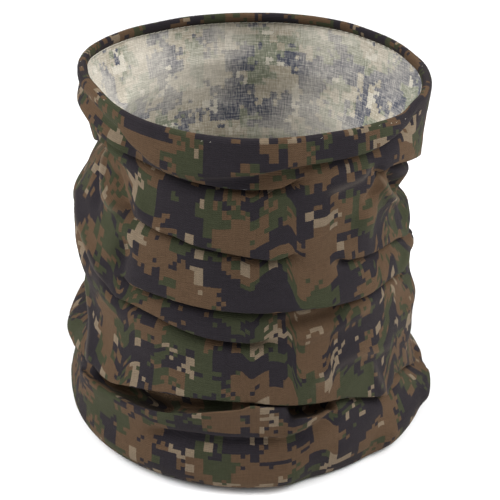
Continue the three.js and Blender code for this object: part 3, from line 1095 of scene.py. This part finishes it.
@dataclass
class Panel:
    """One panel of the tube: printed cloth with its turned-in hems and its two seam allowances."""

    name: str
    node: str
    grid: ClothGrid
    first_turn: float
    last_turn: float
    print_shift: tuple[float, float]
    allowance_depth: float
    seam: SeamPlan

    def columns(self) -> np.ndarray:
        """The grid's columns from one side seam to the other."""
        count = int(round((self.last_turn - self.first_turn) / 360.0 * self.grid.form.columns))
        return (self.grid.column_at(self.first_turn) + np.arange(count + 1)) % self.grid.form.columns

    def on_the_flat(self, rows: slice, columns: np.ndarray, turns: np.ndarray) -> np.ndarray:
        """Each point's place on the flat printed cloth, in mm."""
        up = self.grid.flat_up[rows][:, columns] + self.print_shift[1]
        across = turns / 360.0 * self.grid.girth + self.print_shift[0]
        return np.stack([np.repeat(across[None, :], len(up), 0), up, np.zeros_like(up)], axis=-1)

    def wall(self) -> Patch:
        """The panel between its seams."""
        columns = self.columns()
        outer = self.grid.points[:, columns]
        inner = outer - self.grid.normals[:, columns] * self.grid.layer[:, columns, None]
        turns = np.linspace(self.first_turn, self.last_turn, len(columns))
        flat = self.on_the_flat(slice(None), columns, turns)
        return Patch(outer, inner, flat, self.grid.pale[:, columns], printed=True)

    def allowance(self, turn: float) -> Patch:
        """The cloth beyond one seam, which lies flat inside the back of the tube."""
        rows, columns = self.seam.rows(self.grid), self.seam.columns(self.grid, turn)
        if turn < 0:
            columns = columns[::-1]
        outer = self.grid.inside(rows, columns, self.allowance_depth)
        inner = self.grid.inside(rows, columns, self.allowance_depth + self.seam.layer)
        flat = self.on_the_flat(rows, columns, self.grid.turn[columns])
        return Patch(outer, inner, flat, np.zeros(outer.shape[:2]), printed=False)

    def build(self, face: bpy.types.Material, inside: bpy.types.Material) -> bpy.types.Object:
        """Makes the panel.

        Args:
            face: the printed finish.
            inside: the wrong side's finish.

        Returns:
            The finished object.
        """
        points, flat, pale, faces, slots = [], [], [], [], []
        first = 0
        for patch in (self.wall(), self.allowance(-90.0), self.allowance(90.0)):
            front, rest = patch.faces(first)
            faces += [front, rest]
            slots += [np.full(len(front), 0 if patch.printed else 1), np.ones(len(rest))]
            points += [patch.outer.reshape(-1, 3), patch.inner.reshape(-1, 3)]
            flat += [patch.flat.reshape(-1, 3)] * 2
            pale += [patch.pale.ravel()] * 2
            first += 2 * patch.pale.size
        made = plain_mesh(self.name, np.vstack(points), np.vstack(faces))
        made.data.materials.append(face)
        made.data.materials.append(inside)
        made.data.polygons.foreach_set("material_index", np.concatenate(slots).astype(np.int32))
        made.data.polygons.foreach_set("use_smooth", np.ones(len(made.data.polygons), dtype=bool))
        made.data.set_sharp_from_angle(angle=math.radians(75))
        store(made, "cloth", "FLOAT_VECTOR", np.vstack(flat))
        store(made, "pale", "FLOAT", np.concatenate(pale))
        return made


# ---------------------------------------------------------------- stitching


class Stitch(Enum):
    """The kinds of stitch."""

    DASH = "a short straight stitch"
    LOOP = "a loop that goes across the edge and back"


@dataclass(frozen=True)
class StitchSize:
    """The size of a row's stitches, in mm."""

    pitch: float
    length: float
    across: float
    arch: float
    thread: float = 0.14
    seed: int = 5


@dataclass
class StitchPath:
    """A line that stitches follow: points, the way across the line, and the way out of the cloth."""

    points: np.ndarray
    across: np.ndarray
    out: np.ndarray
    grow: float = 1.0
    keep: float = 1.0
    closed: bool = False


class StitchTree:
    """The node tree that sets stitches along a path."""

    def __init__(self, kind: Stitch) -> None:
        """Builds the tree for one kind of stitch."""
        number, solid = "NodeSocketFloat", "NodeSocketGeometry"
        w, start, end = new_group(
            f"{kind.name.title()} stitches", "GeometryNodeTree",
            [("Path", solid, None), ("Pitch", number, 0.0025), ("Length", number, 0.0018),
             ("Across", number, 0.0), ("Arch", number, 0.0001), ("Thread", number, 0.00014),
             ("Seed", "NodeSocketInt", 5), ("Material", "NodeSocketMaterial", None)],
            [("Geometry", solid)])
        self.tree = w.tree
        self.tree.is_modifier = True
        given = start.outputs
        line = w.node("GeometryNodeMeshToCurve", i0=given["Path"]).outputs[0]
        line = w.node("GeometryNodeResampleCurve", {"mode": "LENGTH"}, Curve=line,
                      Length=given["Pitch"]).outputs[0]
        across, out, grow, keep = (
            w.node("GeometryNodeInputNamedAttribute", {"data_type": kind_of}, Name=name).outputs[0]
            for name, kind_of in (("across", "FLOAT_VECTOR"), ("out", "FLOAT_VECTOR"), ("grow", "FLOAT"),
                                  ("keep", "FLOAT")))
        axes = {"primary_axis": "Z", "secondary_axis": "Y"}
        turned = w.node("FunctionNodeAxesToRotation", axes, i0=out, i1=across).outputs[0]
        chance = w.node("FunctionNodeRandomValue", {"data_type": "FLOAT"}, Seed=given["Seed"]).outputs[1]
        kept = w.node("FunctionNodeCompare", {"data_type": "FLOAT", "operation": "LESS_THAN"}, i0=chance,
                      i1=keep).outputs[0]
        stitches = w.node("GeometryNodeInstanceOnPoints", Points=line, Selection=kept,
                          Instance=self.unit(w, given, kind), Rotation=turned, Scale=grow).outputs[0]
        stitches = w.node("GeometryNodeRealizeInstances", i0=stitches).outputs[0]
        w.fill(end, Geometry=w.node("GeometryNodeSetMaterial", Geometry=stitches,
                                    Material=given["Material"]).outputs[0])

    @staticmethod
    def unit(w: Weaver, given: bpy.types.NodeOutputs, kind: Stitch) -> bpy.types.NodeSocket:
        """One stitch, lying along X, reaching across Y and arching up Z."""
        half = w.math("MULTIPLY", given["Length"], 0.5)
        ends = [w.place(X=w.math("MULTIPLY", half, -1.0))]
        if kind is Stitch.LOOP:
            ends += [w.place(Y=given["Across"]), w.place(X=half)]
        else:
            ends += [w.place(X=half, Y=given["Across"])]
        lift = w.place(Z=w.math("MULTIPLY", given["Arch"], 2.0))
        ring = w.node("GeometryNodeCurvePrimitiveCircle", {"mode": "RADIUS"}, Resolution=5,
                      Radius=given["Thread"]).outputs[0]
        join = w.node("GeometryNodeJoinGeometry")
        for first, last in zip(ends[:-1], ends[1:]):
            middle = w.vector("ADD", w.vector("SCALE", w.vector("ADD", first, last), Scale=0.5), lift)
            bow = w.node("GeometryNodeCurveQuadraticBezier", Resolution=6, Start=first, Middle=middle,
                         End=last).outputs[0]
            w.fill(join, i0=w.node("GeometryNodeCurveToMesh", Curve=bow, Profile_Curve=ring,
                                   Fill_Caps=True).outputs[0])
        return join.outputs[0]


@dataclass
class StitchRow:
    """One thread, worked along one or more paths."""

    name: str
    node: str
    paths: list[StitchPath]
    size: StitchSize
    kind: Stitch = Stitch.DASH

    def line(self) -> bpy.types.Object:
        """The paths as a mesh of edges that carries the ways across and out."""
        edges = []
        first = 0
        for path in self.paths:
            count = len(path.points)
            edges += [(first + index, first + index + 1) for index in range(count - 1)]
            if path.closed:
                edges.append((first + count - 1, first))
            first += count
        made = plain_mesh(self.name, np.vstack([path.points for path in self.paths]), (), edges)
        for name in ("across", "out"):
            store(made, name, "FLOAT_VECTOR", np.vstack([getattr(path, name) for path in self.paths]))
        for name in ("grow", "keep"):
            values = [np.full(len(path.points), getattr(path, name)) for path in self.paths]
            store(made, name, "FLOAT", np.concatenate(values))
        return made

    def build(self, trees: dict[Stitch, StitchTree], thread: bpy.types.Material) -> bpy.types.Object:
        """Works the stitches.

        Args:
            trees: the node tree for each kind of stitch.
            thread: the thread's finish.

        Returns:
            The finished object, a plain mesh.
        """
        made = self.line()
        tree = trees[self.kind].tree
        modifier = made.modifiers.new("stitches", "NODES")
        modifier.node_group = tree
        values = {name.title(): getattr(self.size, name) * METRES
                  for name in ("pitch", "length", "across", "arch", "thread")}
        values |= {"Seed": self.size.seed, "Material": thread}
        for socket in tree.interface.items_tree:
            if socket.name in values and socket.in_out == "INPUT":
                modifier[socket.identifier] = values[socket.name]
        bpy.context.view_layer.update()
        mesh = bpy.data.meshes.new_from_object(made.evaluated_get(bpy.context.evaluated_depsgraph_get()))
        made.modifiers.remove(modifier)
        made.data = mesh
        return made


@dataclass
class Stitching:
    """All the thread in the gaiter. Lengths in mm."""

    grid: ClothGrid
    seam: SeamPlan
    top_hem_up: float = 1.3
    bottom_hem_up: float = 1.6
    prick_down: float = 9.5
    overlock_width: float = 4.3

    def ring(self, row: int, lift: float, grow: float = 1.0, keep: float = 1.0) -> StitchPath:
        """A path right round the tube, on the cloth's printed face."""
        points, out = self.grid.points[row], self.grid.normals[row]
        along = np.roll(points, -1, axis=0) - np.roll(points, 1, axis=0)
        return StitchPath(points + out * lift, np.cross(out, along), out, grow, keep, closed=True)

    def seam_path(self, turn: float, depth: float, over: int, flipped: bool = False) -> StitchPath:
        """A path up a seam allowance.

        Args:
            turn: the seam's place round the tube.
            depth: how far behind the printed face it lies.
            over: how many columns it lies from the seam.
            flipped: True on the allowance's hidden side.

        Returns:
            The path, with across pointing back to the seam.
        """
        rows, columns = self.seam.rows(self.grid), self.seam.columns(self.grid, turn)
        places = self.grid.inside(rows, columns, depth)
        out = softened(-self.grid.normals[rows][:, columns[over]], 6)
        return StitchPath(places[:, over], places[:, 0] - places[:, -1], -out if flipped else out)

    def rows(self) -> list[StitchRow]:
        """Every thread."""
        made = []
        above = self.seam.front_layer + self.seam.layer + 0.1
        below = self.seam.back_layer - 0.15
        edge = self.seam.columns_wide
        loop = StitchSize(pitch=2.6, length=2.6, across=self.overlock_width, arch=0.16)
        dash = StitchSize(pitch=2.6, length=2.1, across=0.25, arch=0.14)
        for side, turn in zip(("left", "right"), self.grid.form.seam_turns):
            for thread, path, size, kind in (
                    ("needle", self.seam_path(turn, above, 0), dash, Stitch.DASH),
                    ("upper_looper", self.seam_path(turn, above, edge), loop, Stitch.LOOP),
                    ("lower_looper", self.seam_path(turn, below, edge, flipped=True), loop, Stitch.LOOP)):
                made.append(StitchRow(f"{side}_{thread}_stitches", f"{side}_seam_{thread}_thread", [path], size,
                                      kind))
        length = self.grid.cloth_length
        hem = StitchSize(pitch=3.6, length=2.4, across=0.9, arch=0.18, seed=11)
        top = [self.ring(self.grid.row_at(length - self.top_hem_up), 0.1),
               self.ring(self.grid.row_at(length - self.prick_down), 0.02, grow=0.3, keep=0.16)]
        bottom = [self.ring(self.grid.row_at(self.bottom_hem_up), 0.1)]
        return [*made, StitchRow("top_hem_stitches", "top_hem_thread", top, hem),
                StitchRow("bottom_hem_stitches", "bottom_hem_thread", bottom, hem)]


# ---------------------------------------------------------------- stage


@dataclass(frozen=True)
class Stage:
    """A pale floor, soft light and the camera."""

    camera_back: float = 0.5775
    camera_height: float = 0.3975
    camera_dip: float = 28.8
    lens: float = 96.7
    sky: float = 0.24
    overhead: float = 1.05
    softbox_power: float = 11.2
    softbox_size: float = 0.6

    def build(self) -> None:
        """Makes the floor, the lights and the camera."""
        bpy.context.scene.view_settings.view_transform = "Standard"
        self.lay_floor()
        self.light_sky()
        self.light_overhead()
        for side, x in (("left", -0.72), ("right", 0.72)):
            self.light_softbox(f"{side}_light", (x, -0.12, 0.72), (0.0, 0.0, 0.1))
        camera = bpy.data.cameras.new("camera")
        camera.lens = self.lens
        camera.clip_start = 0.01
        bpy.context.scene.camera = placed("camera", camera, (0.0, -self.camera_back, self.camera_height),
                                          (math.radians(90.0 - self.camera_dip), 0.0, 0.0))

    @staticmethod
    def lay_floor(half: float = 6000.0, level: float = -0.2) -> None:
        """A wide pale floor, just under the cloth, in mm."""
        corners = np.array([(x * half, y * half, level) for x, y in ((-1, -1), (1, -1), (1, 1), (-1, 1))])
        made = plain_mesh("floor", corners, [(0, 1, 2, 3)])
        material, w, surface = new_material("Pale floor")
        w.fill(surface, Base_Color=(0.93, 0.93, 0.935, 1.0), Roughness=0.9, Specular_IOR_Level=0.1)
        made.data.materials.append(material)

    def light_sky(self) -> None:
        """Even white light from all round."""
        world = bpy.data.worlds.new("studio")
        world.use_nodes = True
        Weaver(world.node_tree).fill(world.node_tree.nodes["Background"], Color=(1.0, 1.0, 1.0, 1.0),
                                     Strength=self.sky)
        bpy.context.scene.world = world

    def light_overhead(self) -> None:
        """Broad light from above, and a little from the front."""
        light = bpy.data.lights.new("overhead_light", "SUN")
        light.energy = self.overhead
        light.angle = math.radians(100.0)
        placed("overhead_light", light, turned=(math.radians(22.0), 0.0, 0.0))

    def light_softbox(self, name: str, where: Point, target: Point) -> None:
        """One square soft light, aimed at a target."""
        light = bpy.data.lights.new(name, "AREA")
        light.shape = "SQUARE"
        light.size = self.softbox_size
        light.energy = self.softbox_power
        x, y, z = (there - here for here, there in zip(where, target))
        placed(name, light, where, (math.atan2(math.hypot(x, y), -z), 0.0, math.atan2(-x, y)))


def main() -> None:
    """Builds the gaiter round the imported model."""
    logging.basicConfig(level=logging.INFO, format="%(name)s: %(message)s")
    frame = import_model()
    LOG.info("frame has %d nodes", len(frame["nodes"]))
    low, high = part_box("front_panel")
    form = ClothForm(rim_radius=RIM_RADIUS, foot_radius=(high[0] - low[0]) / 2 / METRES,
                     standing_height=high[2] / METRES)
    Stage().build()
    grid = form.grid()
    LOG.info("cloth is %.0f mm long and %.0f mm round", grid.cloth_length, grid.girth)
    groups = Groups()
    face, inside = PrintedFace(groups).make(), WrongSide(groups).make()
    seam = SeamPlan()
    panels = (Panel("front_panel_cloth", "front_panel", grid, -90.0, 90.0, FRONT_PRINT, seam.front_layer, seam),
              Panel("back_panel_cloth", "back_panel", grid, 90.0, 270.0, BACK_PRINT, seam.back_layer, seam))
    for panel in panels:
        made = panel.build(face, inside)
        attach(made, ROOT)
        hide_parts(panel.node)
        LOG.info("made %s", made.name)
    thread = SpunThread().make()
    trees = {kind: StitchTree(kind) for kind in Stitch}
    for row in Stitching(grid, seam).rows():
        made = row.build(trees, thread)
        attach(made, ROOT)
        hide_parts(row.node)
        LOG.info("made %s", made.name)


if __name__ == "__main__":
    main()
